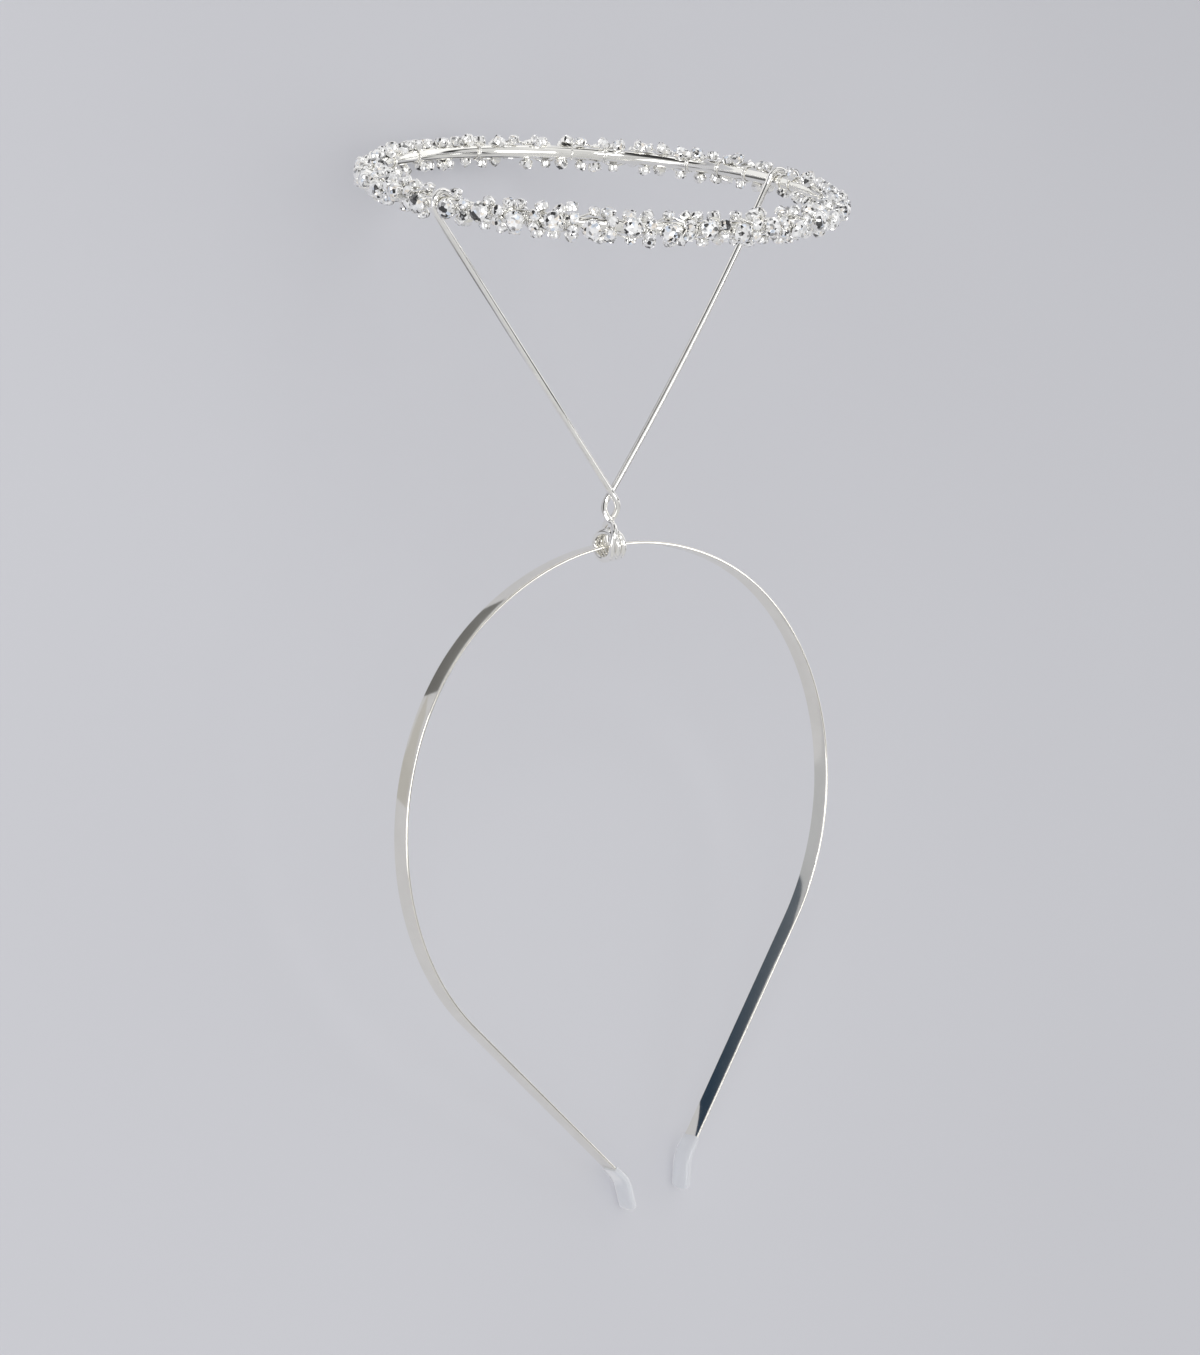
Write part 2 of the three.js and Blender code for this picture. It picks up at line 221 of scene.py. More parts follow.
def crystalMaterial():
    material, tree, shader = newMaterial(
        "cutCrystal", Metallic=0.3, Roughness=0.04, IOR=1.6, **{"Coat Weight": 1.0, "Coat Roughness": 0.02}
    )
    place = addNode(tree, "ShaderNodeTexCoord")
    cells = addNode(tree, "ShaderNodeTexVoronoi", Scale=crystalLook["cells"])
    tree.links.new(place.outputs["Object"], cells.inputs["Vector"])
    apart = addNode(tree, "ShaderNodeSeparateXYZ")
    tree.links.new(cells.outputs["Color"], apart.inputs["Vector"])
    # The cells' colours are painted facet reflections: grey and near-black cells paint dark reflections, warm and cool
    # ones paint fire.
    paintedFacetLight = rampNode(tree, apart.outputs["X"], crystalLook["paintedFacetColours"])
    paintedFacetLight.color_ramp.interpolation = "CONSTANT"
    patches = addNode(tree, "ShaderNodeTexVoronoi", Scale=crystalLook["patches"])
    tree.links.new(place.outputs["Object"], patches.inputs["Vector"])
    patchApart = addNode(tree, "ShaderNodeSeparateXYZ")
    tree.links.new(patches.outputs["Color"], patchApart.inputs["Vector"])
    # A few larger patches are painted near black, as dark reflections.
    depth = rampNode(tree, patchApart.outputs["Y"], crystalLook["paintedDarkPatchColours"])
    depth.color_ramp.interpolation = "CONSTANT"
    shade = addNode(tree, "ShaderNodeMix", data_type="RGBA", blend_type="MULTIPLY")
    shade.inputs[0].default_value = 1.0
    tree.links.new(paintedFacetLight.outputs["Color"], shade.inputs[6])
    tree.links.new(depth.outputs["Color"], shade.inputs[7])
    tree.links.new(shade.outputs[2], shader.inputs["Base Color"])
    centred = addNode(tree, "ShaderNodeVectorMath", operation="SUBTRACT")
    centred.inputs[1].default_value = (0.5, 0.5, 0.5)
    tree.links.new(cells.outputs["Color"], centred.inputs[0])
    turned = addNode(tree, "ShaderNodeVectorMath", operation="SCALE", Scale=crystalLook["cellTurn"])
    tree.links.new(centred.outputs["Vector"], turned.inputs[0])
    surface = addNode(tree, "ShaderNodeNewGeometry")
    summed = addNode(tree, "ShaderNodeVectorMath", operation="ADD")
    tree.links.new(turned.outputs["Vector"], summed.inputs[0])
    tree.links.new(surface.outputs["Normal"], summed.inputs[1])
    normal = addNode(tree, "ShaderNodeVectorMath", operation="NORMALIZE")
    tree.links.new(summed.outputs["Vector"], normal.inputs[0])
    tree.links.new(normal.outputs["Vector"], shader.inputs["Normal"])
    return material


# Milky clear plastic: a little see-through where it faces the eye, and full along its edges, where a painted
# highlight turns its colour lighter, up to white.
sleeveLook = {
    "haze": 500.0, "roughness": (0.05, 0.1), "edgeBlend": 0.3, "alpha": (0.7, 1.0),
    "colours": [(0.0, (0.715, 0.73, 0.765)), (0.32, (0.745, 0.76, 0.795)), (0.52, (1.0, 1.0, 1.0))],
}


def sleeveMaterial():
    material, tree, shader = newMaterial("clearSleeve", IOR=1.4, **{"Coat Weight": 1.0, "Coat Roughness": 0.04})
    place = addNode(tree, "ShaderNodeTexCoord")
    haze = addNode(tree, "ShaderNodeTexNoise", Scale=sleeveLook["haze"], Detail=2.0)
    tree.links.new(place.outputs["Object"], haze.inputs["Vector"])
    tree.links.new(toRange(tree, haze.outputs["Fac"], *sleeveLook["roughness"]), shader.inputs["Roughness"])
    edge = addNode(tree, "ShaderNodeLayerWeight", Blend=sleeveLook["edgeBlend"])
    # The colour turning lighter towards the edges is a painted highlight.
    tint = rampNode(tree, edge.outputs["Facing"], sleeveLook["colours"])
    tree.links.new(tint.outputs["Color"], shader.inputs["Base Color"])
    tree.links.new(toRange(tree, edge.outputs["Facing"], *sleeveLook["alpha"]), shader.inputs["Alpha"])
    return material


stripSilver = metalMaterial("stripSilver")
wireSilver = metalMaterial("wireSilver")
tubeSilver = metalMaterial("tubeSilver")
cupSilver = metalMaterial("cupSilver")
cutCrystal = crystalMaterial()
clearSleeve = sleeveMaterial()
print("materials made")


# The strip: from the top of the head to an end, a crown arc, a side arc, a straight leg, and a flare
# outwards with a short tail.
strip = {
    "width": 4, "thickness": 0.7, "inset": 0.03, "edgeRadius": 0.2, "edgeSteps": 5, "stationLength": 1.4,
    "crownRadius": 76, "crownTurn": math.radians(30),
    "sideRadius": 56, "sideTurn": math.radians(102), "legLength": 60,
    "flareRadius": 7, "flareTurn": math.radians(31), "tailLength": 4.2,
}


# The place on the strip's outer face at a length along the right limb: across, up, and its heading.
def limbPlace(run):
    stretches = [
        (strip["crownRadius"], strip["crownTurn"], 1), (strip["sideRadius"], strip["sideTurn"], 1),
        (strip["legLength"], 0, 0), (strip["flareRadius"], strip["flareTurn"], -1), (strip["tailLength"], 0, 0),
    ]
    x, z, heading = 0, 0, 0
    for size, turn, bend in stretches:
        length = size * turn if bend else size
        part = min(run, length)
        if bend:
            ahead = heading + bend * part / size
            x += bend * size * (math.sin(ahead) - math.sin(heading))
            z += bend * size * (math.cos(ahead) - math.cos(heading))
            heading = ahead
        else:
            x += part * math.cos(heading)
            z -= part * math.sin(heading)
        run -= part
    return x, z, heading


# The clear sleeves on the strip's ends, with a swell behind the mouth and a round far end.
sleeve = {
    "length": 11, "grip": 0.7, "halfWidth": 2.45, "halfThickness": 0.86, "squareness": 0.62,
    "slotGap": -0.02, "slotDepth": 0.8, "slotSquareness": 0.4, "mouthShare": 0.9, "swellRun": 0.25,
    "endLength": 1.4, "endSteps": 12, "sides": 72, "stationLength": 0.35,
}
limbLength = (
    strip["crownRadius"] * strip["crownTurn"] + strip["sideRadius"] * strip["sideTurn"] + strip["legLength"]
    + strip["flareRadius"] * strip["flareTurn"] + strip["tailLength"]
)
mouthRun = limbLength - sleeve["length"]
stripEnd = mouthRun + sleeve["grip"]


# A point beside the strip's outer face: outwards from it, and across its width.
def besideStrip(run, outwards, across, side):
    x, z, heading = limbPlace(run)
    return Vector((side * (x + outwards * math.sin(heading)), across, z + outwards * math.cos(heading)))


def roundedRectangle(halfOut, halfAcross, radius, steps):
    outline = []
    for cornerOut, cornerAcross, start in ((1, 1, 0), (-1, 1, 1), (-1, -1, 2), (1, -1, 3)):
        for step in range(steps + 1):
            angle = (start + step / steps) * math.pi / 2
            outline.append((
                cornerOut * (halfOut - radius) + radius * math.cos(angle),
                cornerAcross * (halfAcross - radius) + radius * math.sin(angle),
            ))
    return outline


def makeStrip():
    halfOut = strip["thickness"] / 2 - strip["inset"]
    halfAcross = strip["width"] / 2 - strip["inset"]
    section = roundedRectangle(halfOut, halfAcross, strip["edgeRadius"], strip["edgeSteps"])
    steps = round(stripEnd / strip["stationLength"])
    rings = []
    for step in range(-steps, steps + 1):
        run = abs(step) * stripEnd / steps
        side = 1 if step >= 0 else -1
        rings.append([besideStrip(run, out - strip["thickness"] / 2, across, side) for out, across in section])
    store = newStore()
    addForm(store, ringForm(rings))
    makePiece("polished_strip", store, [stripSilver], ["headband"])


makeStrip()
print("strip made")


def superellipse(halfOut, halfAcross, squareness, sides):
    outline = []
    for side in range(sides):
        angle = fullTurn * side / sides
        cos, sin = math.cos(angle), math.sin(angle)
        outline.append((
            halfOut * math.copysign(abs(cos) ** squareness, cos),
            halfAcross * math.copysign(abs(sin) ** squareness, sin),
        ))
    return outline


def makeSleeve(name, side, replaced):
    middle = -strip["thickness"] / 2
    outline = superellipse(sleeve["halfThickness"], sleeve["halfWidth"], sleeve["squareness"], sleeve["sides"])
    slot = superellipse(
        strip["thickness"] / 2 + sleeve["slotGap"], strip["width"] / 2 + sleeve["slotGap"],
        sleeve["slotSquareness"], sleeve["sides"],
    )
    rings = []
    for share in (1.0, 0.5, 0.0):  # from the slot's bottom to the mouth
        run = mouthRun + share * sleeve["slotDepth"]
        rings.append([besideStrip(run, middle + out, across, side) for out, across in slot])
    steps = round(sleeve["length"] / sleeve["stationLength"])
    for step in range(steps + 1):
        run = mouthRun + sleeve["length"] * step / steps
        swell = min(1, step / steps / sleeve["swellRun"])
        size = sleeve["mouthShare"] + (1 - sleeve["mouthShare"]) * swell
        rings.append([besideStrip(run, middle + size * out, size * across, side) for out, across in outline])
    x, z, heading = limbPlace(limbLength)
    for step in range(1, sleeve["endSteps"]):
        angle = math.pi / 2 * step / sleeve["endSteps"]
        ahead = sleeve["endLength"] * math.sin(angle)
        shift = Vector((side * ahead * math.cos(heading), 0, -ahead * math.sin(heading)))
        shrink = math.cos(angle)
        rings.append([
            besideStrip(limbLength, middle + shrink * out, shrink * across, side) + shift
            for out, across in outline
        ])
    store = newStore()
    addForm(store, ringForm(rings))
    makePiece(name, store, [clearSleeve], [replaced], smoothAngle=60)


makeSleeve("clear_tip_left", -1, "tip_left")
makeSleeve("clear_tip_right", 1, "tip_right")
print("sleeves made")


# The halo's place over the strip, its lean, and its tube.
halo = {
    "radius": 49, "tubeRadius": 1.5, "height": 77, "shiftRight": 4.4, "shiftForward": 4.4,
    "leanForward": math.radians(10.7), "leanSide": math.radians(1.8), "sides": 28, "steps": 300,
    "seatGap": 0.3,
}
haloMatrix = (
    Matrix.Translation((halo["shiftRight"], -halo["shiftForward"], halo["height"]))
    @ Matrix.Rotation(halo["leanSide"], 4, "Y") @ Matrix.Rotation(halo["leanForward"], 4, "X")
)

# The stem is one wire: hook, arm, twist, coil, twist, arm and hook.
wire = {
    "diameter": 1.5, "sides": 16, "spacing": 0.3, "smoothPasses": 9,
    "coilTurns": 2.5, "coilSpacing": 0.25, "coilShift": 2.2, "coilGap": 0.3,
    "twistGap": 0.2, "twistHeight": 6.4, "twistBearing": math.radians(226), "lean": math.radians(5),
    "hookWrap": math.radians(240), "hookGap": 0.3,
}
leftHook = {"side": -1, "forward": math.radians(3), "inwards": -1, "hug": 0, "bow": 0}
rightHook = {"side": 1, "forward": math.radians(8), "inwards": 1, "hug": math.radians(35), "bow": 1.6}
wireRadius = wire["diameter"] / 2
coilRadius = math.hypot(strip["width"], strip["thickness"]) / 2 + wire["coilGap"] + wireRadius
coilPitch = wire["diameter"] + wire["coilSpacing"]
coilHalf = coilPitch * wire["coilTurns"] / 2
coilHeight = -strip["thickness"] / 2
# A strand from the low end of the twist to the side of the coil: angle from the coil's top, distance
# outside the coil in wire diameters, and place along the coil.
strandRun = [
    {"turn": math.radians(28), "lift": 1.3, "along": 0.5},
    {"turn": math.radians(51), "lift": 0.95, "along": 0.88},
    {"turn": math.radians(69), "lift": 0.3, "along": 1},
]


# Leans the twist and the coil's sides with the stem, and shifts them to their place on the strip.
def leant(point):
    height = point.z - coilHeight
    shift = height * math.tan(wire["lean"])
    return Vector((point.x + wire["coilShift"] + shift, point.y - shift, point.z))


def strandPoints(steps=18):
    depth = wireRadius + wire["twistGap"]
    low = coilHeight + coilRadius + strandRun[0]["lift"] * wire["diameter"]
    cos, sin = math.cos(wire["twistBearing"]), math.sin(wire["twistBearing"])
    points = []
    for step in range(steps + 1):
        turn = math.pi * step / steps
        forwards, sideways = depth * math.cos(turn), wire["diameter"] * math.sin(turn)
        height = low + wire["twistHeight"] * (1 - step / steps)
        points.append(Vector((forwards * cos - sideways * sin, forwards * sin + sideways * cos, height)))
    for row in strandRun:
        reach = coilRadius + row["lift"] * wire["diameter"]
        points.append(Vector((
            row["along"] * coilHalf, reach * math.sin(row["turn"]), coilHeight + reach * math.cos(row["turn"]),
        )))
    return points


def coilPoints(stepsPerTurn=36):
    points = []
    for step in range(round(wire["coilTurns"] * stepsPerTurn) + 1):
        turn = fullTurn * step / stepsPerTurn
        x = wire["coilShift"] + coilHalf - coilPitch * step / stepsPerTurn
        points.append(Vector((x, coilRadius * math.cos(turn), coilHeight - coilRadius * math.sin(turn))))
    return points


# From a hook's free end round the tube, and down its bowed arm to a point of the twist.
def hookAndArm(hook, towards, hookSteps=40, armSteps=24):
    place = haloMatrix @ Matrix.Rotation(-hook["side"] * hook["forward"], 4, "Z")
    local = place.inverted() @ towards
    armAngle = math.atan2(-local.z, halo["radius"] - hook["side"] * local.x)
    reach = halo["tubeRadius"] + wire["hookGap"] + wireRadius
    points = []
    for step in range(hookSteps, -1, -1):
        turn = math.pi / 2 + hook["hug"] - wire["hookWrap"] * step / hookSteps
        angle = armAngle + hook["inwards"] * turn
        x = hook["side"] * (halo["radius"] + reach * math.cos(angle))
        points.append(place @ Vector((x, 0, reach * math.sin(angle))))
    top = points[-1]
    for step in range(1, armSteps):
        share = step / armSteps
        point = top.lerp(towards, share)
        point.x += hook["side"] * hook["bow"] * 4 * share * (1 - share)
        points.append(point)
    return points


def evenlySpaced(points, spacing):
    lengths = [0]
    for before, after in zip(points, points[1:]):
        lengths.append(lengths[-1] + (after - before).length)
    count = round(lengths[-1] / spacing)
    wanted = [lengths[-1] * index / count for index in range(count + 1)]
    columns = [np.interp(wanted, lengths, [point[axis] for point in points]) for axis in range(3)]
    return np.stack(columns, axis=1)


def smoothed(run, passes):
    for _ in range(passes):
        inner = (run[:-2] + 2 * run[1:-1] + run[2:]) / 4
        run = np.vstack([run[:1], inner, run[-1:]])
    return run


# A round wire along a run of points, with rounded ends.
def wireForm(run, radius, sides, endSteps=4):
    points = [Vector(point) for point in run]
    ends = zip(points[:1] + points[:-1], points[1:] + points[-1:])
    tangents = [(after - before).normalized() for before, after in ends]
    across = tangents[0].orthogonal().normalized()
    quarter = math.pi / 2
    turns = [fullTurn * side / sides for side in range(sides)]
    rings = []
    for index, (point, tangent) in enumerate(zip(points, tangents)):
        across = (across - tangent * across.dot(tangent)).normalized()
        beside = tangent.cross(across)
        steps = [(0, 1)]
        if index == 0:
            steps = [
                (-radius * math.cos(quarter * step / endSteps), math.sin(quarter * step / endSteps))
                for step in range(1, endSteps + 1)
            ]
        if index == len(points) - 1:
            steps = [
                (radius * math.sin(quarter * step / endSteps), math.cos(quarter * step / endSteps))
                for step in range(endSteps)
            ]
        for ahead, shrink in steps:
            rings.append([
                point + tangent * ahead + (across * math.cos(turn) + beside * math.sin(turn)) * radius * shrink
                for turn in turns
            ])
    return ringForm(rings)


def makeStem():
    halfTurn = Matrix.Rotation(math.pi, 4, "Z")
    down = [leant(point) for point in strandPoints()]
    up = [leant(halfTurn @ point) for point in reversed(strandPoints())]
    points = [
        *hookAndArm(leftHook, down[0]), *down, *coilPoints(), *up,
        *reversed(hookAndArm(rightHook, up[-1])),
    ]
    run = smoothed(evenlySpaced(points, wire["spacing"]), wire["smoothPasses"])
    store = newStore()
    addForm(store, wireForm(run, wireRadius, wire["sides"]))
    makePiece("wound_stem_wire", store, [wireSilver], ["stem_wire"], smoothAngle=60)


makeStem()
print("stem made")


def makeTube():
    rings = []
    for step in range(halo["steps"]):
        angle = fullTurn * step / halo["steps"]
        ring = []
        for side in range(halo["sides"]):
            turn = fullTurn * side / halo["sides"]
            out = halo["radius"] + halo["tubeRadius"] * math.cos(turn)
            ring.append((out * math.cos(angle), out * math.sin(angle), halo["tubeRadius"] * math.sin(turn)))
        rings.append(ring)
    store = newStore()
    addForm(store, ringForm(rings, closedRun=True), matrix=haloMatrix)
    makePiece("bright_halo_tube", store, [tubeSilver], ["halo_ring"], smoothAngle=60)


makeTube()
print("tube made")


# The stones, how they are set, and the thin wire that joins and binds them.
largeStone = {"width": 4.4, "cupHeight": 1.7, "crownHeight": 0.9, "tableShare": 0.56, "baseShare": 0.78}
smallStone = {"width": 2.6, "cupHeight": 1.2, "crownHeight": 0.6, "tableShare": 0.56, "baseShare": 0.74}
fineStone = {
    "width": 3.1, "cupHeight": 1.2, "crownHeight": 0.75, "tableShare": 0.56, "baseShare": 0.74,
    "betweenShare": 0.92, "besideShare": 0.92, "tilt": 0.8, "rise": (-0.35, 0.35), "turns": (70, 106), "stray": 0.03,
}
setting = {
    "spacing": 0.3, "pairOverlap": 0.2, "largeSwing": math.radians(8), "edgeSpread": math.radians(12),
    "linkDiameter": 0.5, "linkLiftShare": 0.66, "largeTilt": 0.12, "smallTilt": 0.16, "linkSag": 0.25,
    "tiltShares": (1, 1, 0.6, 0.3, 0.1), "sinkMost": 0.4, "sinkStep": 0.05,
    "loopDiameter": 0.36, "loopPitch": 0.42, "loopShare": 0.4,
}


# The crown of a cut stone: a table, eight star facets, eight kites and sixteen girdle facets.
def crystalForm(stone, girdleShare=0.95, starShare=0.81, starHeight=0.6):
    radius = stone["width"] / 2
    top = stone["cupHeight"] + stone["crownHeight"]
    low = stone["cupHeight"] - 0.1 * stone["crownHeight"]
    points = [
        *circle(8, radius * stone["tableShare"], top),
        *circle(8, radius * starShare, low + starHeight * (top - low), shift=0.5),
        *circle(16, radius * girdleShare, low),
    ]
    faces = [tuple(range(8))]
    for side in range(8):
        after = (side + 1) % 8
        before = (side + 7) % 8
        edge, middle, edgeAfter = 16 + 2 * side, 16 + 2 * side + 1, 16 + 2 * after
        faces.append((side, 8 + side, after))
        faces.append((side, 8 + before, edge, 8 + side))
        faces.append((8 + side, edge, middle))
        faces.append((8 + side, middle, edgeAfter))
    return points, faces


# The cup: a tapered wall, a little narrower than the stone that sits on its rim.
def cupForm(stone, sides=20):
    radius = stone["width"] / 2
    height = stone["cupHeight"]
    # Shares of the stone's radius and of the cup's height, from its base to inside its rim.
    profile = [(0.3, 0), (stone["baseShare"], 0), (0.86, 0.4), (0.93, 0.88), (0.93, 0.98), (0.84, 0.98), (0.84, 0.8)]
    return ringForm([circle(sides, out * radius, up * height) for out, up in profile])


# A claw bent over the stone's edge.
def clawForm(stone, angle):
    radius = stone["width"] / 2
    height, crown = stone["cupHeight"], stone["crownHeight"]
    path = [
        (0.78, 0.1 * height, 0.2), (0.87, 0.5 * height, 0.21), (0.94, height, 0.19),
        (0.91, height + 0.5 * crown, 0.16), (0.74, height + 0.8 * crown, 0.1),
    ]
    outwards = Vector((math.cos(angle), math.sin(angle), 0))
    across = Vector((-math.sin(angle), math.cos(angle), 0))
    rings = []
    for share, up, half in path:
        middle = outwards * share * radius + Vector((0, 0, up))
        deep = outwards * 0.06 * radius if up <= height + 0.5 * crown else Vector((0, 0, 0.06 * radius))
        wide = across * half * radius
        rings.append([middle - deep - wide, middle - deep + wide, middle + deep + wide * 0.7, middle + deep - wide * 0.7])
    return ringForm(rings)


# Whether a stone at a place keeps inside the CAD model's box.
def keepsInside(stone, matrix):
    radius, top = stone["width"] / 2 * 1.02, stone["cupHeight"] + stone["crownHeight"]
    for side in range(16):
        angle = fullTurn * side / 16
        for share, height in ((stone["baseShare"], 0), (1, stone["cupHeight"]), (1, top * 0.85), (0.8, top + 0.05)):
            reach = radius * share
            point = wornToFrame @ matrix @ Vector((reach * math.cos(angle), reach * math.sin(angle), height))
            if any(point[axis] < cadBox[0][axis] or point[axis] > cadBox[1][axis] for axis in range(3)):
                return False
    return True


# Tilts a stone at random, by less and less until it keeps inside the box, or sinks it a little.
def leaningPlace(stone, place, tilt):
    for share in setting["tiltShares"]:
        matrix = place @ tilted(share * tilt)
        if keepsInside(stone, matrix):
            return matrix
    sunk = 0
    while sunk < setting["sinkMost"] and not keepsInside(stone, matrix):
        sunk += setting["sinkStep"]
        matrix = place @ Matrix.Translation((0, 0, -sunk))
    return matrix


def addStone(store, stone, matrix, clawStart=0.0):
    addForm(store, cupForm(stone), 0, matrix)
    addForm(store, crystalForm(stone), 1, matrix @ Matrix.Rotation(clawStart, 4, "Z"))
    for claw in range(4):
        addForm(store, clawForm(stone, clawStart + fullTurn * (claw + 0.5) / 4), 0, matrix)


# Where something stands on the tube: round the halo by angle, and round the tube by turn, from facing
# outwards to facing up.
def onTube(angle, turn, lift=0.0):
    return (
        haloMatrix @ Matrix.Rotation(angle, 4, "Z") @ Matrix.Translation((halo["radius"], 0, 0))
        @ Matrix.Rotation(math.pi / 2 - turn, 4, "Y")
        @ Matrix.Translation((0, 0, halo["tubeRadius"] + halo["seatGap"] + lift))
    )


def stoneRuns():
    pitch = largeStone["width"] + smallStone["width"] + 2 * setting["spacing"]
    backStart = -rightHook["forward"]
    frontStart = math.pi + leftHook["forward"]
    runs = [
        {"name": "back", "start": backStart, "span": frontStart - backStart},
        {"name": "front", "start": frontStart, "span": backStart + fullTurn - frontStart},
    ]
    for run in runs:
        run["count"] = math.floor(run["span"] * halo["radius"] / pitch)
        run["step"] = run["span"] / run["count"]
    return runs


def tilted(amount):
    return Matrix.Rotation(rng.uniform(-amount, amount), 4, "X") @ Matrix.Rotation(rng.uniform(-amount, amount), 4, "Y")


def makeLargeStones():
    number = 0
    for run in stoneRuns():
        for index in range(run["count"]):
            number += 1
            swing = -setting["largeSwing"] if index % 2 == 0 else setting["largeSwing"]
            place = onTube(run["start"] + (index + 0.5) * run["step"], swing)
            store = newStore()
            addStone(store, largeStone, leaningPlace(largeStone, place, setting["largeTilt"]), rng.uniform(0, fullTurn))
            name = f"halo_stone_{number:02d}"
            makePiece(f"set_{name}", store, [cupSilver, cutCrystal], [name], 15)


def chainPlaces(run):
    seat = halo["tubeRadius"] + halo["seatGap"]
    smallBase = smallStone["width"] * smallStone["baseShare"] / 2
    largeBase = largeStone["width"] * largeStone["baseShare"] / 2
    smallHalfTurn = math.atan2(smallBase, seat)
    pairTurn = smallHalfTurn - math.asin(setting["pairOverlap"] / 2 / math.hypot(smallBase, seat))
    edgeTurn = math.atan2(largeBase, seat) + smallHalfTurn + setting["edgeSpread"]
    places = []
    for index in range(run["count"]):
        side = 1 if index % 2 == 0 else -1
        places.append({"angle": run["start"] + (index + 0.5) * run["step"], "turn": side * edgeTurn, "linked": True})
        if index < run["count"] - 1:
            between = run["start"] + (index + 1) * run["step"]
            places.append({"angle": between, "turn": side * pairTurn, "linked": True})
            places.append({"angle": between, "turn": -side * pairTurn, "linked": False})
    return places


def makeChain(run):
    store = newStore()
    linkLift = smallStone["cupHeight"] * setting["linkLiftShare"]
    last = None
    for place in chainPlaces(run):
        seat = leaningPlace(smallStone, onTube(place["angle"], place["turn"]), setting["smallTilt"])
        addStone(store, smallStone, seat, rng.uniform(0, fullTurn))
        joint = onTube(place["angle"], place["turn"], linkLift).translation
        if last is not None and place["linked"]:
            sag = (last + joint) / 2 + (haloMatrix.translation - joint).normalized() * setting["linkSag"]
            link = smoothed(evenlySpaced([last, sag, joint], 0.3), 2)
            addForm(store, wireForm(link, setting["linkDiameter"] / 2, 8, 2), 0)
        last = joint
    makePiece(f"small_stones_{run['name']}", store, [cupSilver, cutCrystal], [f"stone_chain_{run['name']}"], 15)


# Further stones fill most of the places that the chain leaves free along the top and bottom of the tube.
def makeFineStones(run):
    store = newStore()
    wanted = []
    for index in range(run["count"]):
        chainSide = 1 if index % 2 == 0 else -1
        middle = run["start"] + (index + 0.5) * run["step"]
        if rng.random() < fineStone["besideShare"]:
            wanted.append((middle, -chainSide))
        if index < run["count"] - 1:
            wanted.extend(
                (middle + run["step"] / 2, edge) for edge in (1, -1) if rng.random() < fineStone["betweenShare"]
            )
    for angle, edge in wanted:
        turn = edge * math.radians(rng.uniform(*fineStone["turns"]))
        stray = rng.uniform(-fineStone["stray"], fineStone["stray"])
        place = onTube(angle + stray, turn, rng.uniform(*fineStone["rise"]))
        seat = leaningPlace(fineStone, place, fineStone["tilt"])
        if not keepsInside(fineStone, seat):
            seat = leaningPlace(fineStone, onTube(angle, edge * math.radians(80)), fineStone["tilt"])
        if keepsInside(fineStone, seat):
            addStone(store, fineStone, seat, rng.uniform(0, fullTurn))
    makePiece(f"fine_stones_{run['name']}", store, [cupSilver, cutCrystal], [], 15)


# Short turns of thin wire round the tube, between the stones, hold the chain on.
def makeBindingLoops():
    store = newStore()
    radius = setting["loopDiameter"] / 2
    for run in stoneRuns():
        for index in range(2 * run["count"]):
            if rng.random() > setting["loopShare"]:
                continue
            middle = run["start"] + (index / 2 + 0.25) * run["step"]
            turns = rng.choice((1, 2, 2))
            path = []
            for step in range(turns * 20 + 1):
                ahead = (step / 20 - turns / 2) * setting["loopPitch"] / halo["radius"]
                around = fullTurn * step / 20
                path.append(onTube(middle + ahead, around, radius - halo["seatGap"] + 0.02).translation)
            addForm(store, wireForm(path, radius, 8, 2))
    makePiece("binding_loops", store, [wireSilver], [], 60)


makeLargeStones()
for stoneRun in stoneRuns():
    makeChain(stoneRun)
    makeFineStones(stoneRun)
makeBindingLoops()
print("stones made")


